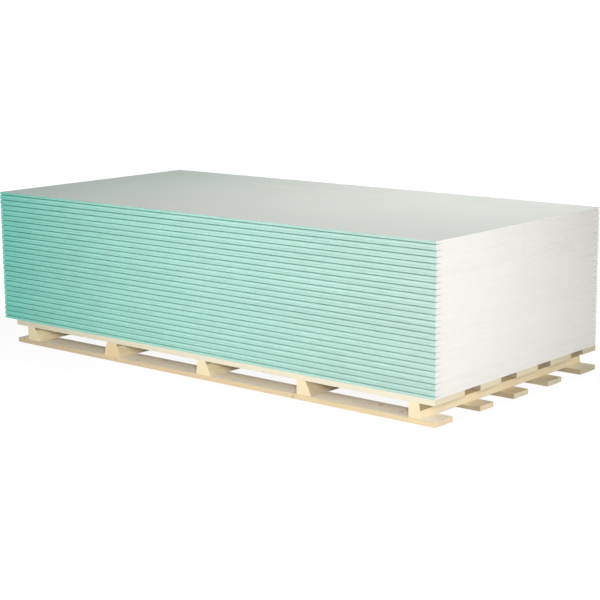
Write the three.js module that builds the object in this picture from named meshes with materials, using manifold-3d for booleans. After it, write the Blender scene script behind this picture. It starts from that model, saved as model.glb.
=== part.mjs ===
// A stack of drywall sheets lying on its wooden pallet, ready for a lift truck.
//
// Millimetres, +Z up. The origin is on the floor, at the middle of the stack's plan. X runs along
// the sheets and Y across them: the front is at -Y, and forks go in along Y, between the bearers.

import * as THREE from 'three';
import { mergeVertices } from 'three/addons/utils/BufferGeometryUtils.js';
import Module from 'manifold-3d';

const manifold = await Module();
manifold.setup();

// ---- Driving dimensions -------------------------------------------------------------------

// One sheet of drywall.
const SHEET_LENGTH = 2600;
const SHEET_WIDTH = 1250;
const SHEET_THICKNESS = 12.5;

// Its long edges: the face is flattened towards the edge, to take the joint filler, and the paper
// turns round a half-round nose on the face side and a small fold on the back.
const TAPER_WIDTH = 50;
const TAPER_DEPTH = 1.4;
const NOSE_RADIUS = 5;
const BACK_FOLD_RADIUS = 1.4;

// Sheets lie in pairs, face to face. At the cut ends a fine open seam parts the two of a pair.
// Each pair is one solid, except the top one, whose two sheets are solids of their own.
const SHEET_PAIRS = 25;
const SEAM_HEIGHT = 0.8;
const SEAM_DEPTH = 4;

// The pallet has three layers of timber: deck boards lengthwise on bearers crosswise, on bottom
// boards lengthwise. Its right end is flush with the sheets, which overhang it on the left. Its
// boards run past the outer bearers by BOARD_OVERHANG.
const PALLET_LENGTH = 2510;
const PALLET_WIDTH = SHEET_WIDTH;
const DECK_BOARD_THICKNESS = 24;
const BEARER_HEIGHT = 66;
const BOTTOM_BOARD_THICKNESS = 22;
const BEARER_END_RECESS = 6;
const BOTTOM_BOARD_RECESS = 5;
const BOARD_OVERHANG = 73;

// Boards from the front to the back. The clear gaps between them are even, apart from the shift
// with which a board was nailed down.
const DECK_BOARD_WIDTHS = [208, 155, 170, 172, 117];
const DECK_BOARD_SHIFTS = [0, 4, 12, 7, 0];
const BOTTOM_BOARD_WIDTHS = [120, 97, 113, 112, 132];
const BOTTOM_BOARD_SHIFTS = [0, 27, 15, 7, 0];

// Bearers from left to right, spaced and shifted like the boards. They are sawn from the outside
// of a log, whose round side comes in by the wane at the top and stands out by WANE_BULGE from
// the straight line between. A side with no wane is sawn square.
const BEARER_WIDTHS = [86, 105, 89, 79, 59];
const BEARER_SHIFTS = [0, -28, -22, -14, 0];
const BEARER_WANES_LEFT = [0, 24, 11, 0, 0];
const BEARER_WANES_RIGHT = [42, 23, 36, 33, 8];
const WANE_BULGE = 1;

// ---- Derived heights and finishes -----------------------------------------------------------

const BEARER_BOTTOM = BOTTOM_BOARD_THICKNESS;
const DECK_BOTTOM = BEARER_BOTTOM + BEARER_HEIGHT;
const STACK_BOTTOM = DECK_BOTTOM + DECK_BOARD_THICKNESS;
const PALLET_RIGHT = SHEET_LENGTH / 2;
const PALLET_LEFT = PALLET_RIGHT - PALLET_LENGTH;
const PALLET_FRONT = -PALLET_WIDTH / 2;
const PALLET_BACK = PALLET_WIDTH / 2;
const ARC_STEPS = 3;
const WANE_STEPS = 4;
const CUT_OVERRUN = 10;

const greenPaper = new THREE.MeshStandardMaterial({ color: 0xa9ddc8, roughness: 0.85, metalness: 0 });
const greyPaper = new THREE.MeshStandardMaterial({ color: 0xd2d2ce, roughness: 0.9, metalness: 0 });
const deckTimber = new THREE.MeshStandardMaterial({ color: 0xe8cfa0, roughness: 0.8, metalness: 0 });
const sawnTimber = new THREE.MeshStandardMaterial({ color: 0xd9b988, roughness: 0.85, metalness: 0 });

// ---- Helpers ----------------------------------------------------------------------------------

// Extrudes an outline drawn as (Y, Z) along X, from x = 0 to the given length.
function extrudeAlongX(outline, length) {
  const shape = new THREE.Shape(outline);
  const geometry = new THREE.ExtrudeGeometry(shape, { depth: length, steps: 1, bevelEnabled: false });
  const toX = new THREE.Matrix4().makeBasis(
    new THREE.Vector3(0, 1, 0),
    new THREE.Vector3(0, 0, 1),
    new THREE.Vector3(1, 0, 0),
  );
  return geometry.applyMatrix4(toX);
}

function toSolid(geometry) {
  const bare = geometry.clone();
  bare.deleteAttribute('normal');
  bare.deleteAttribute('uv');
  const merged = mergeVertices(bare);
  const mesh = new manifold.Mesh({
    numProp: 3,
    vertProperties: new Float32Array(merged.attributes.position.array),
    triVerts: new Uint32Array(merged.index.array),
  });
  return new manifold.Manifold(mesh);
}

function toGeometry(solid) {
  const mesh = solid.getMesh();
  const geometry = new THREE.BufferGeometry();
  geometry.setAttribute('position', new THREE.BufferAttribute(mesh.vertProperties, 3));
  geometry.setIndex(new THREE.BufferAttribute(mesh.triVerts, 1));
  const flat = geometry.toNonIndexed();
  flat.computeVertexNormals();
  return flat;
}

function addMesh(group, name, geometry, material, x, y, z) {
  const mesh = new THREE.Mesh(geometry, material);
  mesh.name = name;
  mesh.position.set(x, y, z);
  group.add(mesh);
}

// Lays pieces side by side between two limits, with even clear gaps, and gives the middle of
// each. A shift moves a piece off its even place.
function middlesOf(widths, shifts, from, to) {
  const covered = widths.reduce((sum, width) => sum + width, 0);
  const gap = (to - from - covered) / (widths.length - 1);
  let edge = from;
  return widths.map((width, index) => {
    const middle = edge + width / 2 + shifts[index];
    edge += width + gap;
    return middle;
  });
}

// ---- Sheets -----------------------------------------------------------------------------------

// The outline of one long edge of a sheet that lies face up, from its back to its face.
function longEdge() {
  const side = SHEET_WIDTH / 2;
  const noseTop = SHEET_THICKNESS - TAPER_DEPTH;
  const edge = new THREE.Path();
  edge.moveTo(side - BACK_FOLD_RADIUS, 0);
  edge.absarc(side - BACK_FOLD_RADIUS, BACK_FOLD_RADIUS, BACK_FOLD_RADIUS, -Math.PI / 2, 0, false);
  edge.absarc(side - NOSE_RADIUS, noseTop - NOSE_RADIUS, NOSE_RADIUS, 0, Math.PI / 2, false);
  edge.lineTo(side - TAPER_WIDTH, SHEET_THICKNESS);
  return edge.getPoints(ARC_STEPS);
}

const mirrorY = (points) => points.map((p) => new THREE.Vector2(-p.x, p.y)).reverse();
const faceDown = (points, height) => points.map((p) => new THREE.Vector2(p.x, height - p.y)).reverse();

// One sheet, its back on z = 0 and its face up.
function sheetFaceUp() {
  const right = longEdge();
  return extrudeAlongX([...right, ...mirrorY(right)], SHEET_LENGTH);
}

// One sheet, its face down and its back on top.
function sheetFaceDown() {
  const right = faceDown(longEdge(), SHEET_THICKNESS);
  return extrudeAlongX([...right, ...mirrorY(right)], SHEET_LENGTH);
}

// Two sheets face to face. Their flat faces lie on each other, and the tapers leave an open
// wedge along both long sides, between the two noses.
function sheetPair() {
  const lower = longEdge();
  const upper = faceDown(lower, 2 * SHEET_THICKNESS);
  const right = [...lower, ...upper.slice(1)];
  const pair = toSolid(extrudeAlongX([...right, ...mirrorY(right)], SHEET_LENGTH));
  const slot = new THREE.BoxGeometry(2 * SEAM_DEPTH, SHEET_WIDTH + CUT_OVERRUN, SEAM_HEIGHT);
  const leftSeam = toSolid(slot).translate([0, 0, SHEET_THICKNESS]);
  const rightSeam = toSolid(slot).translate([SHEET_LENGTH, 0, SHEET_THICKNESS]);
  return toGeometry(pair.subtract(leftSeam).subtract(rightSeam));
}

function addSheets(group) {
  const pairGeometry = sheetPair();
  const left = -SHEET_LENGTH / 2;
  const pairHeight = 2 * SHEET_THICKNESS;
  for (let pair = 1; pair < SHEET_PAIRS; pair += 1) {
    const name = `sheet_pair_${String(pair).padStart(2, '0')}`;
    addMesh(group, name, pairGeometry, greenPaper, left, 0, STACK_BOTTOM + (pair - 1) * pairHeight);
  }
  const topPair = STACK_BOTTOM + (SHEET_PAIRS - 1) * pairHeight;
  addMesh(group, 'sheet_second', sheetFaceUp(), greenPaper, left, 0, topPair);
  addMesh(group, 'sheet_top', sheetFaceDown(), greyPaper, left, 0, topPair + SHEET_THICKNESS);
}

// ---- Pallet -----------------------------------------------------------------------------------

// A layer of boards along the pallet, standing on z = bottom.
function addBoards(group, name, widths, middles, thickness, bottom, material) {
  const middleX = (PALLET_LEFT + PALLET_RIGHT) / 2;
  const middleZ = bottom + thickness / 2;
  middles.forEach((middleY, index) => {
    const board = new THREE.BoxGeometry(PALLET_LENGTH, widths[index], thickness);
    addMesh(group, `${name}_${index + 1}`, board, material, middleX, middleY, middleZ);
  });
}

function addDeckBoards(group) {
  const middles = middlesOf(DECK_BOARD_WIDTHS, DECK_BOARD_SHIFTS, PALLET_FRONT, PALLET_BACK);
  const thickness = DECK_BOARD_THICKNESS;
  addBoards(group, 'deck_board', DECK_BOARD_WIDTHS, middles, thickness, DECK_BOTTOM, deckTimber);
}

function addBottomBoards(group) {
  const front = PALLET_FRONT + BOTTOM_BOARD_RECESS;
  const middles = middlesOf(BOTTOM_BOARD_WIDTHS, BOTTOM_BOARD_SHIFTS, front, PALLET_BACK);
  const thickness = BOTTOM_BOARD_THICKNESS;
  addBoards(group, 'bottom_board', BOTTOM_BOARD_WIDTHS, middles, thickness, 0, sawnTimber);
}

// The section of a bearer, drawn with X across it and Z up, its foot on z = 0.
function bearerSection(width, waneLeft, waneRight) {
  const foot = width / 2;
  const topRight = foot - waneRight;
  const topLeft = waneLeft - foot;
  const middle = BEARER_HEIGHT / 2;
  const section = new THREE.Path();
  section.moveTo(-foot, 0);
  section.lineTo(foot, 0);
  if (waneRight > 0) {
    section.quadraticCurveTo((foot + topRight) / 2 + 2 * WANE_BULGE, middle, topRight, BEARER_HEIGHT);
  } else {
    section.lineTo(topRight, BEARER_HEIGHT);
  }
  section.lineTo(topLeft, BEARER_HEIGHT);
  if (waneLeft > 0) {
    section.quadraticCurveTo((topLeft - foot) / 2 - 2 * WANE_BULGE, middle, -foot, 0);
  }
  return section;
}

function bearerGeometry(index) {
  const length = PALLET_WIDTH - 2 * BEARER_END_RECESS;
  const waneLeft = BEARER_WANES_LEFT[index];
  const waneRight = BEARER_WANES_RIGHT[index];
  const section = bearerSection(BEARER_WIDTHS[index], waneLeft, waneRight);
  const shape = new THREE.Shape(section.getPoints(WANE_STEPS));
  const geometry = new THREE.ExtrudeGeometry(shape, { depth: length, steps: 1, bevelEnabled: false });
  return geometry.rotateX(Math.PI / 2);
}

function addBearers(group) {
  const left = PALLET_LEFT + BOARD_OVERHANG;
  const right = PALLET_RIGHT - BOARD_OVERHANG;
  const backEnd = PALLET_BACK - BEARER_END_RECESS;
  middlesOf(BEARER_WIDTHS, BEARER_SHIFTS, left, right).forEach((middleX, index) => {
    const bearer = bearerGeometry(index);
    addMesh(group, `bearer_${index + 1}`, bearer, sawnTimber, middleX, backEnd, BEARER_BOTTOM);
  });
}

// ---- The loaded pallet ------------------------------------------------------------------------

const loadedPallet = new THREE.Group();
addSheets(loadedPallet);
addDeckBoards(loadedPallet);
addBearers(loadedPallet);
addBottomBoards(loadedPallet);

export default loadedPallet;
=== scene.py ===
# %% [markdown]
# # A pallet of drywall sheets
#
# Fifty sheets of green drywall lie on a low wooden pallet, as they leave the factory. The sheets
# are laid in pairs, face to face, so that the good faces protect each other. The pallet is three
# layers of rough timber: boards, bearers across them, and boards again on the floor.
#
# The frame holds every solid at its real size and place. This lesson keeps those places and
# gives each piece its real edges, its finish and its small faults.

# %% Load the frame
import math
import random

import bmesh
import bpy
from mathutils import Matrix, Vector, noise


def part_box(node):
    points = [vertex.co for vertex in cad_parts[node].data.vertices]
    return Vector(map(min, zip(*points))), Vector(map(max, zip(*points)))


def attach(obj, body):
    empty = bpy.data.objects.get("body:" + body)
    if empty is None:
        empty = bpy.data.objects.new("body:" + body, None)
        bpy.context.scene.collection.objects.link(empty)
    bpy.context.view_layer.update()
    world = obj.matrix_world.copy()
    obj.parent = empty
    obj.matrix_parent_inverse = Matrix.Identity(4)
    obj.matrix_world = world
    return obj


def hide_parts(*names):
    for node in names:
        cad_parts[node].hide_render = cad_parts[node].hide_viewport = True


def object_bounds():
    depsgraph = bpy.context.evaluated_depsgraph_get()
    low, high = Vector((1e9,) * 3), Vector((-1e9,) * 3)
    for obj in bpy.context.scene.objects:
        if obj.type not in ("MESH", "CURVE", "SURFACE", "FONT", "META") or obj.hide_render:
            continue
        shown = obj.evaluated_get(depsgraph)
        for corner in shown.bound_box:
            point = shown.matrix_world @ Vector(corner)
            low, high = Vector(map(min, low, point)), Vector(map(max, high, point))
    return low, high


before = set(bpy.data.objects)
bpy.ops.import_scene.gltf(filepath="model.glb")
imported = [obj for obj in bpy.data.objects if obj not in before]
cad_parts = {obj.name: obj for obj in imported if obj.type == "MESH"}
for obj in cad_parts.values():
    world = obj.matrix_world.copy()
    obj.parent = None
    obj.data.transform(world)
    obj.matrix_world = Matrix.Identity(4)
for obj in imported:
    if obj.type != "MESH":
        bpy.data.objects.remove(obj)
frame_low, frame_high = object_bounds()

print("frame:", [round(v, 4) for v in (*frame_low, *frame_high)])

# %% [markdown]
# ## The camera
#
# The camera looks over the near right-hand corner of the stack, from about six metres away and
# a little under a metre above the top. From there a long lens keeps the far ends of the sheets
# nearly parallel. A constraint could aim it, but would leave out its slight roll. So it is turned
# first about its own line of sight, then up from straight down, and last round the upright axis.

# %% Camera
CAMERA_PLACE = Vector((4.6250, -5.3573, 1.6353))
CAMERA_AZIMUTH = math.radians(40.26)
CAMERA_ELEVATION = math.radians(11.01)
CAMERA_ROLL = math.radians(-0.44)
SENSOR_WIDTH = 36.0
FOCAL_LENGTH = 91.79
FARTHEST_SEEN = 200.0


def add_object(name, contents):
    """A new object in the scene, which holds a mesh, a lamp or a camera."""
    holder = bpy.data.objects.new(name, contents)
    bpy.context.scene.collection.objects.link(holder)
    return holder


def add_camera():
    camera = bpy.data.cameras.new("camera")
    camera.sensor_width = SENSOR_WIDTH
    camera.lens = FOCAL_LENGTH
    camera.clip_end = FARTHEST_SEEN
    turn = Matrix.Rotation(CAMERA_AZIMUTH, 4, "Z")
    tilt = Matrix.Rotation(math.pi / 2 - CAMERA_ELEVATION, 4, "X")
    roll = Matrix.Rotation(CAMERA_ROLL, 4, "Z")
    holder = add_object("camera", camera)
    holder.matrix_world = Matrix.Translation(CAMERA_PLACE) @ turn @ tilt @ roll
    bpy.context.scene.camera = holder


add_camera()
bpy.context.scene.view_settings.view_transform = "Standard"
print("camera at", [round(v, 2) for v in CAMERA_PLACE], "m")

# %% [markdown]
# ## Shader sums written as Python
#
# A material is a graph of nodes. Wiring Math nodes one by one hides what is being worked out, so
# a small class wraps one output of a node, and the usual signs add the Math nodes: half of a mask
# is written 0.5 * mask. Every other kind of node comes from the one method called node.

# %% A wire between shader nodes
class Wire:
    """One output of a shader node, which can be added, multiplied and fed to other nodes."""

    def __init__(self, socket):
        self.socket = socket

    def node(self, kind, inputs, output=0, **settings):
        """Adds a node of any kind to the tree, and returns the wire of one of its outputs."""
        return add_node(self.socket.id_data, kind, inputs, output, **settings)

    def math(self, operation, *values):
        inputs = dict(enumerate((self, *values)))
        return self.node("ShaderNodeMath", inputs, operation=operation)

    def __add__(self, other):
        return self.math("ADD", other)

    def __sub__(self, other):
        return self.math("SUBTRACT", other)

    def __mul__(self, other):
        return self.math("MULTIPLY", other)

    def __truediv__(self, other):
        return self.math("DIVIDE", other)

    def __pow__(self, other):
        return self.math("POWER", other)

    def __rsub__(self, other):
        return self.node("ShaderNodeMath", {0: other, 1: self}, operation="SUBTRACT")

    def __abs__(self):
        return self.math("ABSOLUTE")

    __radd__ = __add__
    __rmul__ = __mul__

    def step(self, low, high):
        """0 below low, 1 above high, and a smooth rise between. With low above high it falls."""
        inputs = {"Value": self, "From Min": low, "From Max": high}
        return self.node("ShaderNodeMapRange", inputs, interpolation_type="SMOOTHSTEP")

    def swing(self, amount):
        """Turns a range of 0 to 1 into one as wide as the amount, with 0 in its middle."""
        return (self - 0.5) * amount


def add_node(tree, kind, inputs, output=0, **settings):
    made = tree.nodes.new(kind)
    for name, value in settings.items():
        setattr(made, name, value)
    for key, value in inputs.items():
        socket = made.inputs[key]
        if isinstance(value, Wire):
            tree.links.new(value.socket, socket)
        elif socket.type == "RGBA" and len(value) == 3:
            socket.default_value = (*value, 1.0)
        else:
            socket.default_value = value
    return Wire(made.outputs[output]) if made.outputs else None


print("a wire knows + - * / ** and abs")

# %% [markdown]
# ## Colours, places and noise
#
# A Math node would turn a colour grey, so colours and places go through Mix and Vector Math
# nodes. Nearly every finish is noise in the end: clouds, streaks and fibres differ only in how
# fine the noise is, and in how far it is drawn out along each axis.

# %% Colour and noise helpers
def blend(mask, first, second):
    """The first colour where the mask is 0, and the second where it is 1."""
    return mask.node("ShaderNodeMix", {0: mask, 6: first, 7: second}, 2, data_type="RGBA")


def times(first, second):
    """Two colours or places, multiplied part by part. The first one is a wire."""
    return first.node("ShaderNodeVectorMath", {0: first, 1: second}, operation="MULTIPLY")


def tint(colour, strength):
    """A colour made lighter or darker by a strength round 1."""
    spread = strength.node("ShaderNodeCombineXYZ", {0: strength, 1: strength, 2: strength})
    return times(colour, spread)


def mottle(place, scale, detail=3.0, roughness=0.5):
    """Cloudy noise between 0 and 1, with about so many clouds to the metre."""
    inputs = {"Vector": place, "Scale": scale, "Detail": detail, "Roughness": roughness}
    return place.node("ShaderNodeTexNoise", inputs)


def drawn_out(place, per_metre, detail=3.0, roughness=0.5):
    """Noise drawn out by axis: the number of clouds to the metre along each of the three."""
    return mottle(times(place, per_metre), 1.0, detail, roughness)


def split(place):
    """The three coordinates of a place as three wires."""
    return [place.node("ShaderNodeSeparateXYZ", {0: place}, axis) for axis in range(3)]


def srgb(red, green, blue):
    """A screen colour, each part from 0 to 255, as the linear light that the shaders work in."""
    def linear(level):
        share = level / 255
        return share / 12.92 if share <= 0.04045 else ((share + 0.055) / 1.055) ** 2.4
    return (linear(red), linear(green), linear(blue))


print("middle grey as light:", round(srgb(128, 128, 128)[0], 3))

# %% [markdown]
# ## Starting and closing a material
#
# Each finish starts from the place on the object, because every piece sits at the origin and its
# mesh holds its real place. It ends in one Principled shader: a colour, a roughness, and a height
# in metres, which the Bump node turns into shading for relief too fine to model.

# %% Material helpers
def new_material(name):
    material = bpy.data.materials.new(name)
    material.use_nodes = True
    material.node_tree.nodes.clear()
    return material


def place_on(material):
    """The Object coordinates, in metres from the frame's origin."""
    return add_node(material.node_tree, "ShaderNodeTexCoord", {}, "Object")


def close(material, colour, height, roughness, metal=0.0):
    tree = material.node_tree
    bump = add_node(tree, "ShaderNodeBump", {"Height": height, "Distance": 1.0, "Strength": 1.0})
    inputs = {"Base Color": colour, "Roughness": roughness, "Metallic": metal, "Normal": bump}
    surface = add_node(tree, "ShaderNodeBsdfPrincipled", inputs)
    add_node(tree, "ShaderNodeOutputMaterial", {"Surface": surface})
    print("finish:", material.name)
    return material


# %% [markdown]
# ## The studio
#
# The stack stands in a white studio. The key lamp stands near the camera and at about its height,
# so it shines in between the bearers, and the deck throws a dark wedge of shadow on each. Even
# light from all sides would lose those shadows. Two weak lamps stand low and close, one in front
# and one at the right-hand end, and lift the lower boards. One hangs high over the back for the
# top, and one stands low behind, so that the far sides aren't left black. The world adds a little
# from everywhere. It and the floor look white only to the camera, in reflections and through
# glass, so that their white adds no light.

# %% World and lamps
WORLD_LIGHT = (0.112, 0.124, 0.121)
WHITE = (1.0, 1.0, 1.0)
WARM = (1.04, 1.0, 0.92)
COOL = (0.96, 1.0, 0.97)
# Each lamp's place, the point it aims at, its width and its power, and the colour of its light.
LAMPS = {
    "key_lamp": ((4.18, -4.35, 1.69), (0.30, -0.40, 0.35), 0.9, 154.0, WHITE),
    "front_lamp": ((-0.08, -2.70, 0.90), (-0.08, -0.60, 0.35), 1.0, 17.5, WARM),
    "end_lamp": ((2.80, -0.43, 0.95), (1.30, -0.60, 0.40), 1.2, 8.5, WHITE),
    "high_lamp": ((0.66, 0.84, 3.54), (0.60, 0.74, 0.70), 1.6, 71.5, COOL),
    "back_lamp": ((-3.60, 3.00, 0.42), (-0.50, 0.20, 0.38), 0.6, 60.0, WHITE),
}


def seen_directly(tree):
    """1 for a ray from the camera, a mirror or through glass, and 0 for light on its way."""
    path = [add_node(tree, "ShaderNodeLightPath", {}, ray) for ray in
            ("Is Camera Ray", "Is Glossy Ray", "Is Transmission Ray")]
    return path[0].math("MAXIMUM", path[1].math("MAXIMUM", path[2]))


def light_world():
    world = bpy.data.worlds.new("studio")
    bpy.context.scene.world = world
    world.use_nodes = True
    tree = world.node_tree
    tree.nodes.clear()
    colour = blend(seen_directly(tree), WORLD_LIGHT, WHITE)
    shine = add_node(tree, "ShaderNodeBackground", {"Color": colour, "Strength": 1.0})
    add_node(tree, "ShaderNodeOutputWorld", {"Surface": shine})


def add_lamp(name, at, aim, width, power, colour):
    lamp = bpy.data.lights.new(name, "AREA")
    lamp.shape = "DISK"
    lamp.size = width
    lamp.energy = power
    lamp.color = colour
    facing = (Vector(aim) - Vector(at)).to_track_quat("-Z", "Y").to_matrix().to_4x4()
    holder = add_object(name, lamp)
    holder.matrix_world = Matrix.Translation(at) @ facing
    holder.visible_camera = False


light_world()
for lamp_name, settings in LAMPS.items():
    add_lamp(lamp_name, *settings)
print("lamps:", ", ".join(LAMPS))

# %% [markdown]
# ## The floor
#
# The floor is one large plain disc. Paint alone would look grey out to a horizon, and glow alone
# would hold no shadow, so it is both. To the light it is pale paint, which throws light up under
# the pallet. To the camera most of it is white glow with a share of the lit paint, just enough
# for a soft shadow, and the glow is a little stronger to make up for the paint's grey. Farther
# out only the glow is left.

# %% Floor
FLOOR_RADIUS = 60.0
FLOOR_CORNERS = 64
FLOOR_PAINT = (0.93, 0.93, 0.93)
PAINT_SHARE = 0.12
LIT_PAINT = 0.62
SHADOW_NEAR = 1.6
SHADOW_FAR = 2.6


def floor_material():
    material = new_material("studio_floor")
    tree = material.node_tree
    place = place_on(material)
    far = place.node("ShaderNodeVectorMath", {0: place}, "Value", operation="LENGTH")
    share = far.step(SHADOW_NEAR, SHADOW_FAR)
    white = (1.0 - PAINT_SHARE + PAINT_SHARE * share) * seen_directly(tree)
    paint = add_node(tree, "ShaderNodeBsdfDiffuse", {"Color": FLOOR_PAINT})
    strength = (1.0 - PAINT_SHARE * LIT_PAINT) / (1.0 - PAINT_SHARE)
    glow = add_node(tree, "ShaderNodeEmission", {"Color": WHITE, "Strength": strength})
    surface = add_node(tree, "ShaderNodeMixShader", {0: white, 1: paint, 2: glow})
    add_node(tree, "ShaderNodeOutputMaterial", {"Surface": surface})
    return material


def finished_mesh(bm, name, materials):
    """The shape as a mesh with its materials, in the order of their slots."""
    mesh = bpy.data.meshes.new(name)
    bm.to_mesh(mesh)
    bm.free()
    for material in materials:
        mesh.materials.append(material)
    return mesh


def add_floor():
    bm = bmesh.new()
    bmesh.ops.create_circle(bm, cap_ends=True, segments=FLOOR_CORNERS, radius=FLOOR_RADIUS)
    floor = add_object("floor", finished_mesh(bm, "floor", [floor_material()]))


add_floor()
print("floor", 2 * FLOOR_RADIUS, "m across")

# %% [markdown]
# ## Sizes of the stack, read from the frame
#
# The frame holds the pairs of sheets as solids, and the top pair as two single sheets. Their
# boxes give the size of a sheet and the height that the lowest one lies at. Numbers typed in
# here could drift from the solids.

# %% Sheet sizes
pair_nodes = sorted(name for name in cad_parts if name.startswith("sheet_pair_"))
top_low, top_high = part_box("sheet_top")
SHEET_LENGTH, SHEET_WIDTH, SHEET_THICKNESS = top_high - top_low
STACK_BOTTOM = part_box(pair_nodes[0])[0].z
print("sheet", round(SHEET_LENGTH, 4), round(SHEET_WIDTH, 4), round(SHEET_THICKNESS, 4))

# %% [markdown]
# ## Face paper
#
# The face of moisture-resistant drywall is wrapped in pale green paper, which also turns round
# both long edges. It is matt and a little fibrous, and each sheet took the dye slightly
# differently. A stack can't show that with one colour, so the sheet's number in the stack, which
# is its height divided by its thickness, picks a random tone. Long faint streaks run the way the
# paper machine ran. Where sheets were pushed along each other, the rounded edge is rubbed pale.
#
# The paper is painted paler towards the right-hand end, not at all at the left-hand end and most
# at the right-hand one: a painted sheen where the light is strongest. In each pair the lower
# sheet, whose rounded edge faces up, is painted a little lighter and the upper one a little
# darker: painted light and shade on the edges.

# %% Face paper
GREEN = (0.224, 0.760, 0.655)
GREEN_DEEP = (0.196, 0.714, 0.612)
GREEN_RUBBED = (0.62, 0.86, 0.78)
RUBBED_MOST = 0.55
PAINTED_SHEEN = (0.900, 0.680, 0.690)
SHEEN_MOST = 0.43
SHEEN_SPREAD = 0.55
EDGE_LIGHT_AND_SHADE = 0.035
SHEET_TONES = 0.06
STREAK_TONES = 0.12
FIBRE_TONES = 0.10
FIBRES_PER_METRE = 900.0
FIBRE_HEIGHT = 0.00006
RUB_HEIGHT = 0.00004
FACE_ROUGHNESS = 0.82


def sheet_number(height):
    return ((height - STACK_BOTTOM) / SHEET_THICKNESS).math("FLOOR")


def tone_of_sheet(height):
    """A random number from 0 to 1 that is the same all over one sheet."""
    inputs = {"W": sheet_number(height)}
    return height.node("ShaderNodeTexWhiteNoise", inputs, noise_dimensions="1D")


def lies_face_down(height):
    """1 on the upper sheet of a pair, and 0 on the lower one, whose face is up."""
    return sheet_number(height).math("MODULO", 2.0)


def paper_fibres(place, along):
    return mottle(times(place, (along, 1.0, 1.0)), FIBRES_PER_METRE, 2.0)


def green_paper(place):
    """The colour of the face paper, and its relief."""
    along, _, height = split(place)
    patches = mottle(times(place, (1.0, 1.0, 3.0)), 9.0)
    streaks = drawn_out(place, (0.8, 14.0, 160.0), 4.0)
    fibres = paper_fibres(place, 0.35)
    rubs = drawn_out(place, (22.0, 60.0, 240.0), 4.0, 0.7)
    # painted sheen: the paper grows paler towards the right-hand end, where the light is strongest
    sheen = (along / SHEET_LENGTH + 0.5).math("MAXIMUM", 0.0) ** SHEEN_SPREAD * SHEEN_MOST
    tone = tone_of_sheet(height).swing(SHEET_TONES)
    # painted light and shade: the lower sheet of a pair, whose edge faces up, is lighter, and the
    # upper one darker
    tone = tone + EDGE_LIGHT_AND_SHADE * (1.0 - 2.0 * lies_face_down(height))
    tone = 1.0 + tone + streaks.swing(STREAK_TONES) + fibres.swing(FIBRE_TONES)
    colour = blend(patches.step(0.35, 0.75), GREEN, GREEN_DEEP)
    colour = tint(blend(sheen, colour, PAINTED_SHEEN), tone)
    colour = blend(rubs.step(0.60, 0.72) * RUBBED_MOST, colour, GREEN_RUBBED)
    return colour, fibres * FIBRE_HEIGHT + rubs * RUB_HEIGHT


face_paper = new_material("green_paper")
FACE_PAPER = close(face_paper, *green_paper(place_on(face_paper)), FACE_ROUGHNESS)

# %% [markdown]
# ## Back paper
#
# The back is wrapped in grey paper made from old newsprint. Close up it is full of flecks, both
# dark ink and pale pulp, and it has soft clouds from the felt it dried on. The grey is painted a
# little cooler and greener towards the left-hand end, a painted tint of the cooler light there.
# The green face paper is folded over both long edges and ends at the grey in a nearly straight
# line, a narrow green band.
# A strip of mesh as thin as paper would flicker there, so the band is part of the finish, and
# Object coordinates give its distance to the edge.

# %% Back paper
GREY = (0.702, 0.697, 0.668)
GREY_SHADE = (0.671, 0.671, 0.647)
GREY_IN_COOL_LIGHT = (0.675, 0.735, 0.690)
COOL_LIGHT_MOST = 0.9
COOL_LIGHT_FROM = -0.2
COOL_LIGHT_BY = -1.0
INK = srgb(120, 121, 122)
INK_MOST = 0.45
PULP = srgb(236, 236, 232)
PULP_MOST = 0.55
FLECKS_PER_METRE = 330.0
BACK_STREAK_TONES = 0.07
BACK_FIBRE_TONES = 0.08
FOLD_WIDTH = 0.005
FOLD_WANDER = 0.0012
FOLD_BLUR = 0.0006
PAPER_STEP = 0.0003
BACK_ROUGHNESS = 0.86


def fold_mask(place):
    """1 on the narrow band along both edges where the green paper is folded over."""
    wander = drawn_out(place, (9.0, 1.0, 1.0), 4.0).swing(FOLD_WANDER)
    edge = SHEET_WIDTH / 2 - abs(split(place)[1]) + wander
    return edge.step(FOLD_WIDTH + FOLD_BLUR, FOLD_WIDTH - FOLD_BLUR)


def back_paper_material():
    material = new_material("grey_paper")
    place = place_on(material)
    clouds = mottle(times(place, (1.0, 2.2, 1.0)), 2.4, 4.0, 0.6)
    streaks = drawn_out(place, (0.5, 30.0, 1.0), 5.0, 0.6)
    fibres = paper_fibres(place, 0.4)
    flecks = mottle(times(place, (1.0, 1.6, 1.0)), FLECKS_PER_METRE, 2.0, 0.7)
    # painted cool light: the grey turns cooler and greener towards the left-hand end
    cool_light = split(place)[0].step(COOL_LIGHT_FROM, COOL_LIGHT_BY)
    colour = blend(clouds.step(0.3, 0.75), GREY, GREY_SHADE)
    colour = blend(cool_light * COOL_LIGHT_MOST, colour, GREY_IN_COOL_LIGHT)
    colour = blend(flecks.step(0.66, 0.76) * INK_MOST, colour, INK)
    colour = blend(flecks.step(0.33, 0.22) * PULP_MOST, colour, PULP)
    tone = 1.0 + streaks.swing(BACK_STREAK_TONES) + fibres.swing(BACK_FIBRE_TONES)
    fold = fold_mask(place)
    green, _ = green_paper(place)
    colour = blend(fold, tint(colour, tone), green)
    relief = fibres * FIBRE_HEIGHT + streaks * FIBRE_HEIGHT - fold * PAPER_STEP
    return close(material, colour, relief, BACK_ROUGHNESS)


BACK_PAPER = back_paper_material()

# %% [markdown]
# ## Gypsum core
#
# Where a sheet is sawn off, the core shows. It is gypsum plaster, nearly white, foamed so that it
# is full of tiny air bubbles, and the saw leaves fine upright scratches and a dusting of powder.
# The bubbles are too many to model, so they are a Voronoi pattern, which gives round cells,
# hollowed out near their middles and painted darker there, a painted shade in the holes. The cut
# edge of the paper round the core has taken the same dust, so it hardly shows.

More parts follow.
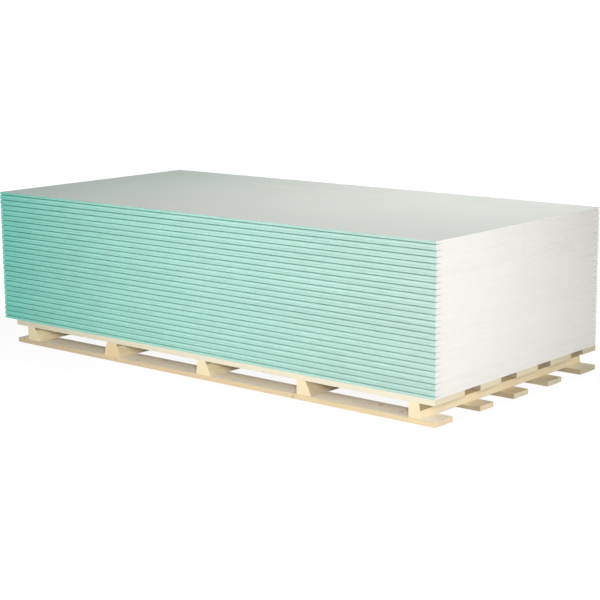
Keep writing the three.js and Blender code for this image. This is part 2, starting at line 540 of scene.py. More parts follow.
# %% Gypsum
GYPSUM = (0.871, 0.838, 0.804)
GYPSUM_SHADE = (0.849, 0.814, 0.781)
SHADE_MOST = 0.5
GYPSUM_TONES = 0.02
BUBBLES_PER_METRE = 620.0
BUBBLE_SHADE = 0.22
BUBBLE_DEPTH = 0.00045
SCRATCH_TONES = 0.05
SCRATCH_HEIGHT = 0.00010
CUT_PAPER_DUSTY = (0.87, 0.85, 0.83)
CUT_PAPER_CLEAN = (0.79, 0.79, 0.76)
FUZZ_PER_METRE = 1600.0
FUZZ_HEIGHT = 0.0002
DUSTY_ROUGHNESS = 0.95


def gypsum_material():
    material = new_material("gypsum_core")
    place = place_on(material)
    cells = {"Vector": place, "Scale": BUBBLES_PER_METRE}
    bubbles = place.node("ShaderNodeTexVoronoi", cells).step(0.30, 0.12)
    holes = bubbles * mottle(place, 150.0, 2.0).step(0.45, 0.62)
    scratches = drawn_out(place, (1.0, 420.0, 30.0), 3.0, 0.7)
    patches = mottle(place, 14.0)
    colour = blend(patches.step(0.4, 0.8) * SHADE_MOST, GYPSUM, GYPSUM_SHADE)
    tone = 1.0 + tone_of_sheet(split(place)[2]).swing(GYPSUM_TONES)
    # painted shade in the bubble holes
    tone = tone + scratches.swing(SCRATCH_TONES) - holes * BUBBLE_SHADE
    relief = scratches * SCRATCH_HEIGHT - holes * BUBBLE_DEPTH
    return close(material, tint(colour, tone), relief, DUSTY_ROUGHNESS)


def cut_paper_material():
    material = new_material("cut_paper")
    fuzz = mottle(place_on(material), FUZZ_PER_METRE)
    colour = blend(fuzz.step(0.35, 0.65), CUT_PAPER_DUSTY, CUT_PAPER_CLEAN)
    return close(material, colour, fuzz * FUZZ_HEIGHT, DUSTY_ROUGHNESS)


GYPSUM_CORE = gypsum_material()
CUT_PAPER = cut_paper_material()

# %% [markdown]
# ## Modelling one sheet
#
# The end of a sheet could be drawn as an outline and extruded. Starting from a box instead keeps
# every step of the shape one number to change. Two cuts mark where the face begins to fall
# towards each long edge, and lowering the outer edges makes the taper that later takes the joint
# filler. Bevelling the long edges rounds them: a large radius on the face side, where the paper
# turns round the core, and a small one on the back. Insetting each cut end by the paper's
# thickness leaves a ring, which is the cut edge of the paper round the core.

# %% Shaping helpers
TINY = 1e-5


def everything(bm):
    return bm.verts[:] + bm.edges[:] + bm.faces[:]


def box_mesh(low, high):
    """A bmesh box between two corners."""
    bm = bmesh.new()
    bmesh.ops.create_cube(bm, size=1.0)
    bmesh.ops.scale(bm, vec=high - low, verts=bm.verts)
    bmesh.ops.translate(bm, vec=(low + high) / 2, verts=bm.verts)
    return bm


def runs_along(edge, axis):
    return abs(edge.verts[0].co[axis] - edge.verts[1].co[axis]) > TINY


def bevel(bm, edges, radius, segments):
    bmesh.ops.bevel(
        bm, geom=edges, offset=radius, segments=segments, affect="EDGES", profile=0.5,
        offset_type="OFFSET", material=-1,
    )


def smooth_gentle_edges(bm, limit):
    """Smooth shading everywhere but across edges sharper than the limit, in degrees."""
    for face in bm.faces:
        face.smooth = True
    for edge in bm.edges:
        edge.smooth = edge.calc_face_angle(0.0) < math.radians(limit)


print("points within", TINY * 1000, "mm count as one")

# %% [markdown]
# ## The sheet's shape and its finishes
#
# The shape is cut and bevelled in the order just told. It stops a millimetre short of the frame's
# sheet on all four sides, which leaves room for the slips of the stack. The way that a face looks
# gives its finish: straight down is the back, along the sheet is the core, and the rest is face
# paper.

# %% One sheet
TAPER_WIDTH = 0.045
TAPER_DEPTH = 0.0014
NOSE_RADIUS = 0.0050
NOSE_SEGMENTS = 8
FOLD_RADIUS = 0.0014
FOLD_SEGMENTS = 4
PAPER_THICKNESS = 0.00035
CORE_SET_BACK = 0.0001
AIR_BETWEEN_SHEETS = 0.00004
SHORT_OF_SIZE = 0.0011
LOOKS_ALONG = 0.5
LOOKS_DOWN = -0.99
SHEET_SMOOTH_BELOW = 25
SLOT_FACE, SLOT_BACK, SLOT_CORE, SLOT_CUT_PAPER = range(4)


def long_edges(bm, above):
    """The outermost edges along X, on the face side or on the back."""
    def outermost(vert):
        at_side = abs(vert.co.y) > SHEET_WIDTH / 2 - SHORT_OF_SIZE - TINY
        return at_side and (vert.co.z > SHEET_THICKNESS / 2) == above
    return [edge for edge in bm.edges
            if all(outermost(vert) for vert in edge.verts) and runs_along(edge, 0)]


def taper_face(bm, half, thickness):
    for side in (-1, 1):
        line = Vector((0, side * (half.y - TAPER_WIDTH), 0))
        bmesh.ops.bisect_plane(bm, geom=everything(bm), plane_co=line, plane_no=(0, 1, 0))
    for vert in bm.verts:
        if vert.co.z > thickness / 2 and abs(vert.co.y) > half.y - TINY:
            vert.co.z -= TAPER_DEPTH


def ring_cut_ends(bm):
    """Insets both cut ends, and returns the faces of the rings round them."""
    rims = set()
    for end in (-1, 1):
        cut = [face for face in bm.faces if face.normal.x * end > LOOKS_ALONG]
        ring = bmesh.ops.inset_region(
            bm, faces=cut, thickness=PAPER_THICKNESS, depth=-CORE_SET_BACK,
            use_boundary=True, use_even_offset=True,
        )
        rims.update(ring["faces"])
    return rims


def set_sheet_slots(bm, rims):
    for face in bm.faces:
        if face in rims:
            face.material_index = SLOT_CUT_PAPER
        elif abs(face.normal.x) > LOOKS_ALONG:
            face.material_index = SLOT_CORE
        elif face.normal.z < LOOKS_DOWN:
            face.material_index = SLOT_BACK
        else:
            face.material_index = SLOT_FACE


def sheet_mesh():
    """One sheet about the origin, lying on its back with its face up."""
    thickness = SHEET_THICKNESS - AIR_BETWEEN_SHEETS
    half = Vector((SHEET_LENGTH / 2 - SHORT_OF_SIZE, SHEET_WIDTH / 2 - SHORT_OF_SIZE, 0))
    bm = box_mesh(-half, half + Vector((0, 0, thickness)))
    taper_face(bm, half, thickness)
    bevel(bm, long_edges(bm, above=True), NOSE_RADIUS, NOSE_SEGMENTS)
    bevel(bm, long_edges(bm, above=False), FOLD_RADIUS, FOLD_SEGMENTS)
    bm.normal_update()
    rims = ring_cut_ends(bm)
    bm.normal_update()
    set_sheet_slots(bm, rims)
    smooth_gentle_edges(bm, SHEET_SMOOTH_BELOW)
    return finished_mesh(bm, "sheet", (FACE_PAPER, BACK_PAPER, GYPSUM_CORE, CUT_PAPER))


one_sheet = sheet_mesh()
print("one sheet:", len(one_sheet.polygons), "faces")

# %% [markdown]
# ## Stacking the sheets
#
# An Array modifier would stack the sheets in perfect line. No stacker is perfect, so the one
# mesh is copied, and each pair is off by a fraction of a millimetre, and each sheet in it by a
# smaller one, with the same random numbers in every run. A sheet with its face down is turned
# over about its length. The place goes into the mesh, so that the object stays at the origin.

# %% Stack
PAIR_SLIP = 0.0004
SHEET_SLIP = 0.0002
SHEET_YAW = math.radians(0.008)
STACK_SEED = 50


def random_slip(chance, most):
    return Vector((chance.uniform(-1, 1), chance.uniform(-1, 1), 0)) * most


def lay_sheet(name, node, bottom, face_up, slip, chance):
    mesh = one_sheet.copy()
    mesh.name = name
    turn_over = Matrix.Identity(4)
    if not face_up:
        lift = Matrix.Translation((0, 0, SHEET_THICKNESS))
        turn_over = lift @ Matrix.Rotation(math.pi, 4, "X")
    slide = slip + random_slip(chance, SHEET_SLIP)
    slide.z = bottom
    yaw = Matrix.Rotation(chance.uniform(-1, 1) * SHEET_YAW, 4, "Z")
    mesh.transform(Matrix.Translation(slide) @ yaw @ turn_over)
    sheet = add_object(name, mesh)
    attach(sheet, "root")
    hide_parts(node)


def stack_sheets():
    chance = random.Random(STACK_SEED)
    nodes = [(node, node) for node in pair_nodes] + [("sheet_second", "sheet_top")]
    for pair, (lower_node, upper_node) in enumerate(nodes):
        bottom = STACK_BOTTOM + 2 * pair * SHEET_THICKNESS
        slip = random_slip(chance, PAIR_SLIP)
        lower = f"sheet_{2 * pair + 1:02d}"
        upper = f"sheet_{2 * pair + 2:02d}"
        lay_sheet(lower, lower_node, bottom, True, slip, chance)
        lay_sheet(upper, upper_node, bottom + SHEET_THICKNESS, False, slip, chance)
    return 2 * len(nodes)


print("stacked", stack_sheets(), "sheets")

# %% [markdown]
# ## Rings and knots
#
# A board shows grain because the saw cuts through the tree's yearly rings. Streaks laid on each
# side wouldn't meet at the corners, so the pattern is worked out in the round log: the distance
# from the pith, measured in ring widths, gives a light band of spring wood and a dark line of
# summer wood. Each piece carries its own place in a log as an attribute of its mesh. Branches
# grow out from the pith, so knots are cells of a Voronoi pattern laid out along the log and
# round it.

# %% Rings and knots
RING_WIDTH = 0.0034
RING_WOBBLE = 0.010
RING_TREMBLE = 0.0022
KNOT_SPACING = 0.55
KNOT_TURN = 1.3
KNOT_STRAY = 0.9
KNOT_RADIUS = 0.010
SWIRL_REACH = 4.5
SWIRL_WIDTH = 0.010
GRAIN = "place_in_log"


def stored(material, name):
    """What the mesh keeps under this name."""
    tree = material.node_tree
    return add_node(tree, "ShaderNodeAttribute", {}, "Vector", attribute_name=name)


def distance_from_pith(log):
    _, across, up = split(log)
    return (across * across + up * up) ** 0.5


def distance_from_knot(log, radius):
    """The distance in metres from the middle of the nearest branch."""
    along, across, up = split(log)
    turn = up.math("ARCTAN2", across)
    inputs = {0: along / KNOT_SPACING, 1: turn / KNOT_TURN, 2: 0.0}
    chart = log.node("ShaderNodeCombineXYZ", inputs)
    cell = {"Vector": chart, "Scale": 1.0, "Randomness": KNOT_STRAY}
    found = log.node("ShaderNodeTexVoronoi", cell, "Position", voronoi_dimensions="2D")
    centre_along, centre_turn, _ = split(found)
    off_along = (along / KNOT_SPACING - centre_along) * KNOT_SPACING
    off_round = (turn / KNOT_TURN - centre_turn) * KNOT_TURN * radius
    return (off_along * off_along + off_round * off_round) ** 0.5


def summer_lines(log, radius, knot):
    """1 on the dark line that ends each year's growth, and 0 on the light wood between."""
    wobble = drawn_out(log, (1.6, 9.0, 9.0)).swing(RING_WOBBLE)
    tremble = drawn_out(log, (9.0, 60.0, 60.0)).swing(RING_TREMBLE)
    swirl = knot.step(SWIRL_REACH * KNOT_RADIUS, 0.6 * KNOT_RADIUS) * SWIRL_WIDTH
    band = ((radius + wobble + tremble + swirl) / RING_WIDTH).math("FRACT")
    return band.step(0.45, 0.92) * band.step(1.0, 0.95)


print("rings", RING_WIDTH * 1000, "mm wide")

# %% [markdown]
# ## Timber
#
# Pallet timber is rough-sawn spruce and pine. Over the rings lie patches of weathering, grime,
# fibres and the ridges that the saw left. A knot has a dark rim and a heart that shrank below the
# face. The pieces come from many trees, so a second attribute holds a tone, which multiplies the
# wood's colour.

# %% Timber
KNOT_HEART = (0.52, 0.34, 0.20)
KNOT_RIM = (0.38, 0.23, 0.13)
HEART_MOST = 0.45
RIM_MOST = 0.4
SUMMER_MOST = 0.6
WEATHERED_MOST = 0.55
DIRT_MOST = 0.4
WOOD_FIBRE_TONES = 0.22
SAW_MARK_HEIGHT = 0.0004
WOOD_FIBRE_HEIGHT = 0.0003
SUMMER_HEIGHT = 0.00015
HEART_DEPTH = 0.0004
WOOD_ROUGHNESS = 0.78
TONE = "tone_of_wood"


def timber_material(name, spring, summer, weathered, dirt, contrast=1.0):
    material = new_material(name)
    log = stored(material, GRAIN)
    radius = distance_from_pith(log)
    knot = distance_from_knot(log, radius)
    heart = knot.step(KNOT_RADIUS, 0.55 * KNOT_RADIUS)
    rim = knot.step(1.45 * KNOT_RADIUS, KNOT_RADIUS) - heart
    summer_line = summer_lines(log, radius, knot)
    patches = drawn_out(log, (1.3, 7.0, 7.0), 4.0, 0.6)
    grime = drawn_out(log, (6.0, 22.0, 22.0), 5.0, 0.65)
    fibres = drawn_out(log, (12.0, 700.0, 700.0), 3.0, 0.6)
    saw_marks = drawn_out(log, (210.0, 4.0, 4.0), 2.0)
    colour = blend(summer_line * SUMMER_MOST * contrast, spring, summer)
    colour = blend(patches.step(0.42, 0.78) * WEATHERED_MOST, colour, weathered)
    colour = blend(grime.step(0.60, 0.80) * DIRT_MOST * contrast, colour, dirt)
    colour = blend(heart * HEART_MOST, colour, KNOT_HEART)
    colour = blend(rim * RIM_MOST, colour, KNOT_RIM)
    colour = tint(colour, 1.0 + fibres.swing(WOOD_FIBRE_TONES))
    colour = times(colour, stored(material, TONE))
    relief = saw_marks * SAW_MARK_HEIGHT + fibres * WOOD_FIBRE_HEIGHT
    relief = relief + summer_line * SUMMER_HEIGHT - heart * HEART_DEPTH
    return close(material, colour, relief, WOOD_ROUGHNESS)


# %% [markdown]
# ## The woods of the pallet
#
# All the woods share that finish and differ in colour, so one function makes them all: the pale
# deck, the golden bearers and skids, the greyed and the worn upper faces that took dust and feet,
# end grain, edges painted dark as the shade between the boards, and a dark wood painted as the
# shadow of the deck on the bearers.

# %% Woods
DECK_WOOD = timber_material(
    "deck_wood", spring=(0.91, 0.84, 0.68), summer=(0.84, 0.71, 0.50),
    weathered=(0.85, 0.80, 0.65), dirt=(0.70, 0.60, 0.43), contrast=0.8,
)
BEARER_WOOD = timber_material(
    "bearer_wood", spring=(0.98, 0.83, 0.58), summer=(0.89, 0.68, 0.42),
    weathered=(0.93, 0.79, 0.56), dirt=(0.75, 0.57, 0.37), contrast=0.7,
)
SKID_WOOD = timber_material(
    "skid_wood", spring=(0.80, 0.65, 0.45), summer=(0.68, 0.50, 0.31),
    weathered=(0.74, 0.61, 0.45), dirt=(0.52, 0.39, 0.26),
)
GREYED_WOOD = timber_material(
    "greyed_wood", spring=(1.00, 0.96, 0.87), summer=(0.96, 0.83, 0.66),
    weathered=(0.98, 0.92, 0.83), dirt=(0.64, 0.48, 0.30), contrast=1.2,
)
END_GRAIN = timber_material(
    "end_grain", spring=(0.81, 0.71, 0.51), summer=(0.67, 0.54, 0.35),
    weathered=(0.73, 0.64, 0.48), dirt=(0.56, 0.45, 0.32),
)
# painted shade: the sides of boards that face another board, dark as the gaps between them
EDGE_SHADE_WOOD = timber_material(
    "edge_shade_wood", spring=(0.53, 0.43, 0.28), summer=(0.42, 0.32, 0.20),
    weathered=(0.46, 0.38, 0.26), dirt=(0.31, 0.23, 0.15),
)
# painted shadow of the deck on the upper sides of the bearers
DECK_SHADOW_WOOD = timber_material(
    "deck_shadow_wood", spring=(0.54, 0.41, 0.25), summer=(0.42, 0.29, 0.17),
    weathered=(0.46, 0.36, 0.24), dirt=(0.30, 0.21, 0.13),
)
WORN_WOOD = timber_material(
    "worn_wood", spring=(0.84, 0.73, 0.56), summer=(0.73, 0.58, 0.40),
    weathered=(0.78, 0.68, 0.54), dirt=(0.57, 0.46, 0.34),
)

# %% [markdown]
# ## Waney wood
#
# Where the saw only just reaches the outside of the log, the round side stays. The bark has come
# off, and what is left is the smooth, stringy wood from under it, browner than a sawn face, with
# scraps of dark inner bark. It shows no rings, only strings along the log, so it has a material of
# its own. On the bearers this wood is painted darker from the edges of the pallet in towards its
# middle, a painted shade deep inside the pallet.

# %% Waney wood
WANE_WOOD = (0.87, 0.74, 0.53)
WANE_STREAK = (0.78, 0.62, 0.41)
INNER_BARK = (0.45, 0.30, 0.18)
BARK_MOST = 0.75
SHADE_BEGINS = 0.47
SHADE_FULL = 0.39
STRING_HEIGHT = 0.0008
BARK_HEIGHT = 0.0007
WANE_ROUGHNESS = 0.72


def waney_material(name, inner_shade):
    material = new_material(name)
    log = stored(material, GRAIN)
    strings = drawn_out(log, (3.5, 130.0, 130.0), 4.0, 0.6)
    bark = drawn_out(log, (14.0, 40.0, 40.0), 4.0, 0.65).step(0.64, 0.70)
    # painted shade: darker from the front and back of the pallet in towards its middle
    inside = abs(split(place_on(material))[1]).step(SHADE_BEGINS, SHADE_FULL)
    colour = blend(strings.step(0.40, 0.70), WANE_WOOD, WANE_STREAK)
    colour = blend(bark * BARK_MOST, colour, INNER_BARK)
    colour = tint(colour, 1.0 - inside * inner_shade)
    colour = times(colour, stored(material, TONE))
    relief = strings * STRING_HEIGHT + bark * BARK_HEIGHT
    return close(material, colour, relief, WANE_ROUGHNESS)


WANEY_WOOD = waney_material("waney_wood", inner_shade=0.0)
INSIDE_SHADE_WOOD = waney_material("inside_shade_wood", inner_shade=0.80)

# %% [markdown]
# ## Tones of the timber
#
# A piece of timber shows up to five finishes: its sawn sides, its top, the wane, the edges that
# face the next board, painted dark as shade, and the sawn ends. Some of these take a tone, so that
# the pieces share their materials and still aren't alike. The tone of the two front boards changes
# along them, lighter towards the right-hand end.

# %% Tones of the timber
SLOT_WOOD, SLOT_TOP, SLOT_WANE, SLOT_EDGE, SLOT_END = range(5)
EVEN = (1.0, 1.0, 1.0)
PALE = (1.02, 1.05, 1.05)
HONEY = (1.00, 0.96, 0.88)
RUDDY = (1.12, 1.02, 0.99)
GOLDEN = (0.93, 0.86, 0.77)
DIM = (0.92, 0.92, 0.89)
DULL = (0.84, 0.86, 0.80)
DARK = (0.80, 0.77, 0.76)
DUSKY = (0.95, 0.93, 0.93)
BRIGHT = (1.13, 1.11, 1.03)
SHADED = (0.72, 0.70, 0.76)
TONES = {
    **{(f"deck_board_{number}", SLOT_EDGE): SHADED for number in (2, 3, 4, 5)},
    ("deck_board_1", SLOT_WOOD): DUSKY,
    ("deck_board_4", SLOT_END): DIM,
    ("deck_board_5", SLOT_END): DULL,
    ("bottom_board_1", SLOT_WOOD): DUSKY,
    ("bottom_board_1", SLOT_WANE): HONEY,
    ("bottom_board_1", SLOT_END): RUDDY,
    ("bottom_board_2", SLOT_END): RUDDY,
    ("bottom_board_3", SLOT_TOP): GOLDEN,
    ("bottom_board_3", SLOT_EDGE): DIM,
    ("bottom_board_4", SLOT_TOP): DIM,
    ("bottom_board_4", SLOT_EDGE): PALE,
    ("bottom_board_5", SLOT_TOP): HONEY,
    ("bottom_board_5", SLOT_EDGE): DIM,
    ("bottom_board_5", SLOT_END): DULL,
    ("bearer_1", SLOT_WOOD): PALE,
    ("bearer_1", SLOT_WANE): PALE,
    ("bearer_2", SLOT_WOOD): GOLDEN,
    ("bearer_3", SLOT_WANE): PALE,
    ("bearer_4", SLOT_WANE): DARK,
    # the painted deck shadow on the last bearer, darker still
    ("bearer_5", SLOT_TOP): DULL,
}
RIGHT_TONES = {
    ("deck_board_1", SLOT_WOOD): EVEN,
    ("bottom_board_1", SLOT_WOOD): BRIGHT,
}


def remember_tones(mesh, node):
    """Stores how much lighter, darker or redder each side of the piece is than its wood."""
    tones = mesh.attributes.new(TONE, "FLOAT_VECTOR", "FACE")
    for face, entry in zip(mesh.polygons, tones.data):
        side = (node, face.material_index)
        left = Vector(TONES.get(side, EVEN))
        right = Vector(RIGHT_TONES.get(side, left))
        entry.vector = left.lerp(right, face.center.x / SHEET_LENGTH + 0.5)


print(len(TONES), "sides have a tone of their own")

# %% [markdown]
# ## Settling a piece of timber
#
# Each shape becomes an object at the origin and stands in for its solid. Its vertices remember
# their place in the log, along it first, then across and up from the pith. Every piece starts at
# another place along its log, so that no two share their knots.

# %% Settling a piece
LOG_STRIDE = 4.3


def remember_log(mesh, pith, seed, turned):
    grain = mesh.attributes.new(GRAIN, "FLOAT_VECTOR", "POINT")
    start = seed * LOG_STRIDE
    for vert, entry in zip(mesh.vertices, grain.data):
        along, across = (vert.co.y, vert.co.x) if turned else (vert.co.x, vert.co.y)
        entry.vector = (along + start, across - pith.x, vert.co.z - pith.y)


def settle(bm, node, woods, pith, seed, turned=False):
    """Makes the shape an object in place of its node. A turned piece lies across the pallet."""
    name = f"{node}_timber"
    mesh = finished_mesh(bm, name, woods)
    remember_log(mesh, pith, seed, turned)
    remember_tones(mesh, node)
    piece = add_object(name, mesh)
    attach(piece, "root")
    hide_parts(node)


print("pieces lie", LOG_STRIDE, "m apart in the log")

# %% [markdown]
# ## Cutting a board
#
# Every board is a box. A Bevel modifier would make its corners alike from end to end. So the four
# long arrises are bevelled far enough for the widest wane, and the board is cut across every few
# centimetres, which gives the points to shape it by. The last cut lies a millimetre from the end,
# and drawing the end in by as much breaks its sharp edge.

# %% Cuts and broken ends
CUT_PITCH = 0.03
END_ARRIS = 0.0012


def cut_across(bm, low, high, axis):
    """Cuts the piece across at even steps along the axis, and once close to each end."""
    count = round((high[axis] - low[axis]) / CUT_PITCH)
    lines = [low[axis] + (high[axis] - low[axis]) * cut / count for cut in range(1, count)]
    normal = Vector((0, 0, 0))
    normal[axis] = 1
    for line in (low[axis] + END_ARRIS, *lines, high[axis] - END_ARRIS):
        bmesh.ops.bisect_plane(bm, geom=everything(bm), plane_co=normal * line, plane_no=normal)


def break_ends(bm, low, high, axis):
    """Draws each cut end in towards its middle, which leaves a narrow slope round it."""
    middle = (low + high) / 2
    for vert in bm.verts:
        if min(vert.co[axis] - low[axis], high[axis] - vert.co[axis]) < TINY:
            for side in {0, 1, 2} - {axis}:
                vert.co[side] -= math.copysign(END_ARRIS, vert.co[side] - middle[side])


print("cut across every", CUT_PITCH * 1000, "mm")

# %% [markdown]
# ## Wane
#
# Wane is the round of the log left on the corner of a board. A Boolean could cut it, but leaves
# ragged faces. Here each arris is drawn back out to a barely softened corner along most of its
# length, and only where a slow noise is high does the bevel stay open.

# %% Wane
WANE_REACH = 0.0095
SOFT_CORNER = 0.10
WANES_PER_METRE = 2.6
WANE_LEVEL = 0.42
WANE_STEEPNESS = 3.2
SEED_STRIDE = 7.3
SLANTED = (0.15, 0.95)


def wane_at(along, seed, amount):
    """How far the wane is open at this place: 0 for a sharp arris and 1 for the full bevel."""
    rise = noise.noise(Vector((along * WANES_PER_METRE, seed * SEED_STRIDE, 0.5)))
    return max(0.0, min(1.0, (rise - WANE_LEVEL + amount) * WANE_STEEPNESS))


def open_or_close_arrises(bm, low, high, seed, wanes):
    """Draws the bevelled arrises back out to their corners wherever there is no wane."""
    for vert in bm.verts:
        side = 1 if vert.co.y > (low.y + high.y) / 2 else -1
        level = 1 if vert.co.z > (low.z + high.z) / 2 else -1
        corner = Vector((high.y if side > 0 else low.y, high.z if level > 0 else low.z))
        offset = Vector((vert.co.y, vert.co.z)) - corner
        if max(abs(offset.x), abs(offset.y)) > WANE_REACH + TINY:
            continue
        amount = wanes.get((side, level), 0.0)
        opened = wane_at(vert.co.x, seed + 2 * side + level, amount) if amount else 0.0
        vert.co.y, vert.co.z = corner + offset * max(SOFT_CORNER, opened)


def is_waney(face, low, high):
    middle = face.calc_center_median()
    slanted = SLANTED[0] < abs(face.normal.z) < SLANTED[1] and abs(face.normal.x) < LOOKS_ALONG
    reach = min(middle.y - low.y, high.y - middle.y) + min(middle.z - low.z, high.z - middle.z)
    return slanted and reach > 3 * SOFT_CORNER * WANE_REACH


print("wane opens to", WANE_REACH * 1000, "mm at most")

# %% [markdown]
# ## One board
#
# After the cuts, the wane and the broken ends, each side takes a wood of its own. The way that a
# face looks picks its wood, so nothing is chosen by hand. The front and the back of the pallet
# were sawn clean, and the edges that face another board are painted dark, a painted shade in the
# gaps between the boards.

# %% One board
OUTER_BOARD = 0.01
WANE_SEGMENTS = 3
LOOKS_SIDEWAYS = 0.7
LOOKS_UP = 0.9
TIMBER_SMOOTH_BELOW = 33


def faces_outward(face):
    """Whether the face is part of the front or the back of the pallet."""
    place = face.calc_center_median().y
    return min(place - frame_low.y, frame_high.y - place) < OUTER_BOARD


def set_board_slots(bm, low, high):
    for face in bm.faces:
        if is_waney(face, low, high):
            face.material_index = SLOT_WANE
        elif abs(face.normal.y) > LOOKS_SIDEWAYS and not faces_outward(face):
            face.material_index = SLOT_EDGE
        elif face.normal.z > LOOKS_UP:
            face.material_index = SLOT_TOP
        elif abs(face.normal.x) > LOOKS_SIDEWAYS:
            face.material_index = SLOT_END


def board(node, wood, top_wood, seed, pith, wanes):
    low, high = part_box(node)
    bm = box_mesh(low, high)
    arrises = [edge for edge in bm.edges if runs_along(edge, 0)]
    bevel(bm, arrises, WANE_REACH, WANE_SEGMENTS)
    cut_across(bm, low, high, 0)
    open_or_close_arrises(bm, low, high, seed, wanes)
    break_ends(bm, low, high, 0)
    bm.normal_update()
    set_board_slots(bm, low, high)
    smooth_gentle_edges(bm, TIMBER_SMOOTH_BELOW)
    woods = (wood, top_wood, WANEY_WOOD, EDGE_SHADE_WOOD, END_GRAIN)
    settle(bm, node, woods, pith, seed)


print("smooth below", TIMBER_SMOOTH_BELOW, "degrees")

# %% [markdown]
# ## The boards of the pallet
#
# The deck boards are the paler ones. Each board was sawn from its own part of a log, so each gets
# its own pith, some way to one side and above or below it. The front bottom board is the
# roughest: its upper front arris is waney in several stretches.

# %% Deck and bottom boards
FRONT, BACK, TOP, UNDER = -1, 1, 1, -1
DECK_SEED = 10
DECK_WANES = [{}, {(BACK, UNDER): 0.35}, {}, {(FRONT, UNDER): 0.3}, {(BACK, UNDER): 0.25}]
DECK_TOPS = (GREYED_WOOD,) + (WORN_WOOD,) * 4
BOTTOM_SEED = 30
BOTTOM_WANES = [
    {(FRONT, TOP): 0.42, (BACK, TOP): 0.15},
    {(FRONT, TOP): 0.30},
    {(BACK, TOP): 0.35},
    {(FRONT, TOP): 0.20, (BACK, TOP): 0.30},
    {(BACK, TOP): 0.30},
]
BOTTOM_TOPS = (GREYED_WOOD,) + (WORN_WOOD,) * 3 + (GREYED_WOOD,)
PITH_ASIDE = 0.03
PITH_NEAREST = 0.03
PITH_FARTHEST = 0.09


def pith_for(node, chance):
    """The pith runs beside the board, within a log of about 15 to 25 cm."""
    low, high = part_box(node)
    middle = (low + high) / 2
    aside = chance.uniform(-PITH_ASIDE, PITH_ASIDE)
    above = chance.choice((-1, 1)) * chance.uniform(PITH_NEAREST, PITH_FARTHEST)
    return Vector((middle.y + aside, middle.z + above))


def lay_boards(layer, wood, first_seed, tops, wanes):
    chance = random.Random(first_seed)
    for number, (top, wane) in enumerate(zip(tops, wanes), start=1):
        node = f"{layer}_{number}"
        pith = pith_for(node, chance)
        board(node, wood, top, first_seed + number, pith, wane)
    print("laid", len(wanes), layer, "pieces")


lay_boards("deck_board", DECK_WOOD, DECK_SEED, DECK_TOPS, DECK_WANES)
lay_boards("bottom_board", SKID_WOOD, BOTTOM_SEED, BOTTOM_TOPS, BOTTOM_WANES)

# %% [markdown]
# ## The shape of a bearer
#
# The bearers are slabs from the outside of the log, so one or both flanks are round. A bevelled
# box has no such flank, so each one starts as the outline of its end, whose corners are read from
# the frame. The outline is extruded to the full length, its sawn arrises are bevelled, and it is
# cut across every few centimetres. The round flanks are then pushed in and out a little, because
# no tree is turned true.

# %% Bearer shape
BEARER_ARRIS = 0.0012
ARRIS_SEGMENTS = 2
SHARP = math.radians(35)
FLANK_SLOPES = (0.14, 0.97)
FLANK_SKEW = 0.1
FLANK_UNEVENNESS = 0.0024
FLANK_MARGIN = 0.03
SWELLS_ALONG = 7
SWELLS_UP = 30
SWELL_STRIDE = 3.1
MOSTLY_HOLLOW = 0.6


def end_outline(bm, node, low):
    """The front end of the node's solid as one face, with its corners in order."""
    corners = {(round(v.co.x, 6), round(v.co.z, 6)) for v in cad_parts[node].data.vertices
               if v.co.y < low.y + TINY}
    middle = Vector((sum(x for x, _ in corners), sum(z for _, z in corners))) / len(corners)
    around = sorted(corners, key=lambda c: math.atan2(c[1] - middle.y, c[0] - middle.x))
    return bm.faces.new([bm.verts.new((x, low.y, z)) for x, z in around])


def is_flank(face):
    least, most = FLANK_SLOPES
    return least < abs(face.normal.z) < most and abs(face.normal.y) < FLANK_SKEW


def push_flanks(bm, low, high, seed):
    """Swells and hollows the round flanks, never out past the widest part of the foot."""
    for vert in bm.verts:
        share = (vert.co.z - low.z) / (high.z - low.z)
        between = FLANK_MARGIN < share < 1 - FLANK_MARGIN
        if between and any(is_flank(face) for face in vert.link_faces):
            spot = (seed * SWELL_STRIDE, vert.co.y * SWELLS_ALONG, vert.co.z * SWELLS_UP)
            swell = noise.noise(Vector(spot)) - MOSTLY_HOLLOW
            depth = swell * FLANK_UNEVENNESS * math.sin(share * math.pi)
            vert.co.x += math.copysign(depth, vert.normal.x)


def bearer_shape(node, low, high, seed):
    bm = bmesh.new()
    made = bmesh.ops.extrude_face_region(bm, geom=[end_outline(bm, node, low)])
    far_end = [item for item in made["geom"] if isinstance(item, bmesh.types.BMVert)]
    bmesh.ops.translate(bm, vec=(0, high.y - low.y, 0), verts=far_end)
    bmesh.ops.recalc_face_normals(bm, faces=bm.faces)
    arrises = [edge for edge in bm.edges
               if edge.calc_face_angle(0.0) > SHARP and runs_along(edge, 1)]
    bevel(bm, arrises, BEARER_ARRIS, ARRIS_SEGMENTS)
    cut_across(bm, low, high, 1)
    bm.normal_update()
    push_flanks(bm, low, high, seed)
    break_ends(bm, low, high, 1)
    bm.normal_update()
    return bm


bearer_nodes = sorted(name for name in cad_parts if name.startswith("bearer_"))
print(len(bearer_nodes), "bearers to shape")

# %% [markdown]
# ## The bearers and their finish
#
# Most bearers are painted darker from the top down, a painted shadow of the deck above them, and
# the right-hand one the most.
# The flanks are waney wood, painted darker where the pallet shelters them, a painted shade deep
# inside it. Only the last bearer stands open to the light, and its flank has none.

# %% Bearers
BEARER_SEEDS = (51, 62, 53, 54, 55)
DECK_SHADOW_FROM = (0.85, 0.85, 0.85, 1.00, 0.46)
FLANK_WOODS = (INSIDE_SHADE_WOOD,) * 4 + (WANEY_WOOD,)
PITH_BELOW = 0.045
PITH_SIDEWAYS = (-0.015, 0.02)


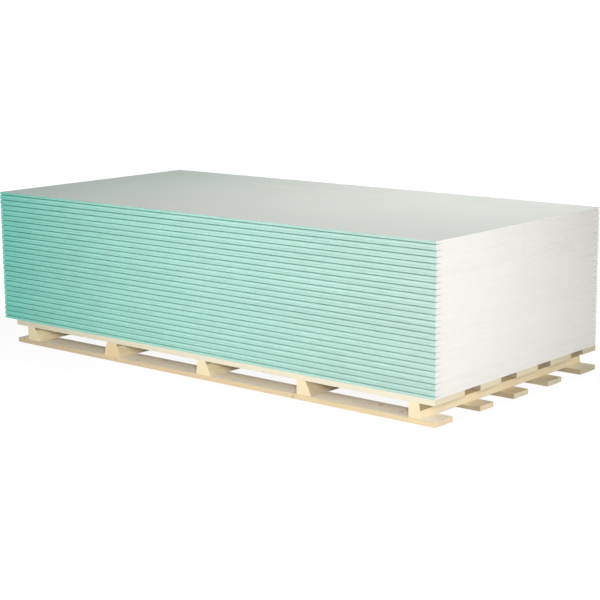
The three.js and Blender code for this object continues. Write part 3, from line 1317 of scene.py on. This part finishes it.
def set_bearer_slots(bm, shadow_height):
    for face in bm.faces:
        side = abs(face.normal.y) < LOOKS_ALONG
        # above this height the sides take the painted shadow of the deck
        if side and face.calc_center_median().z > shadow_height:
            face.material_index = SLOT_TOP
        elif is_flank(face):
            face.material_index = SLOT_WANE


def bearer(node, seed, shadow_from, flank_wood):
    low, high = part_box(node)
    bm = bearer_shape(node, low, high, seed)
    set_bearer_slots(bm, low.z + shadow_from * (high.z - low.z))
    smooth_gentle_edges(bm, TIMBER_SMOOTH_BELOW)
    woods = (BEARER_WOOD, DECK_SHADOW_WOOD, flank_wood)
    middle = (low + high) / 2
    pith = Vector((middle.x + PITH_SIDEWAYS[seed % 2], low.z - PITH_BELOW))
    settle(bm, node, woods, pith, seed, turned=True)


for settings in zip(bearer_nodes, BEARER_SEEDS, DECK_SHADOW_FROM, FLANK_WOODS):
    bearer(*settings)
print("set", len(bearer_nodes), "bearers")

# %% [markdown]
# ## Nails
#
# The bottom boards are nailed up into the bearers, two nails at each crossing, one towards each
# edge of the board. Only the flat heads show, under the pallet, so only they are made. The nails
# of the deck lie hidden under the sheets.

# %% Nails
NAIL_BRIGHT = srgb(150, 150, 152)
NAIL_DULL = srgb(110, 104, 98)
NAIL_METAL = 0.9
NAIL_ROUGHNESS = 0.4
NAIL_ROUGHER = 0.25
SPOTS_PER_METRE = 500.0
SPOT_HEIGHT = 0.0001
HEAD_RADIUS = 0.0045
HEAD_TAPER = 0.85
HEAD_SEGMENTS = 16
HEAD_STANDS_OUT = 0.0002
NAIL_INSET = 0.28
STRAY_ALONG = 0.015
STRAY_ACROSS = 0.008
NAIL_SEED = 7


def nail_material():
    material = new_material("nail_steel")
    spots = mottle(place_on(material), SPOTS_PER_METRE)
    colour = blend(spots.step(0.3, 0.7), NAIL_BRIGHT, NAIL_DULL)
    roughness = NAIL_ROUGHNESS + spots * NAIL_ROUGHER
    return close(material, colour, spots * SPOT_HEIGHT, roughness, NAIL_METAL)


def nail_places():
    chance = random.Random(NAIL_SEED)
    places = []
    for node in bearer_nodes:
        low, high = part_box(node)
        for number in range(1, len(BOTTOM_WANES) + 1):
            board_low, board_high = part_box(f"bottom_board_{number}")
            width = board_high.y - board_low.y
            for edge in (NAIL_INSET, 1 - NAIL_INSET):
                x = (low.x + high.x) / 2 + chance.uniform(-STRAY_ALONG, STRAY_ALONG)
                y = board_low.y + width * edge + chance.uniform(-STRAY_ACROSS, STRAY_ACROSS)
                places.append(Vector((x, y, -HEAD_STANDS_OUT / 2)))
    return places


def drive_nails(places):
    bm = bmesh.new()
    for place in places:
        bmesh.ops.create_cone(
            bm, cap_ends=True, segments=HEAD_SEGMENTS,
            radius1=HEAD_RADIUS * HEAD_TAPER, radius2=HEAD_RADIUS,
            depth=HEAD_STANDS_OUT, matrix=Matrix.Translation(place),
        )
    nails = add_object("nail_heads", finished_mesh(bm, "nail_heads", [nail_material()]))
    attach(nails, "root")
    print("drove", len(places), "nails")


drive_nails(nail_places())
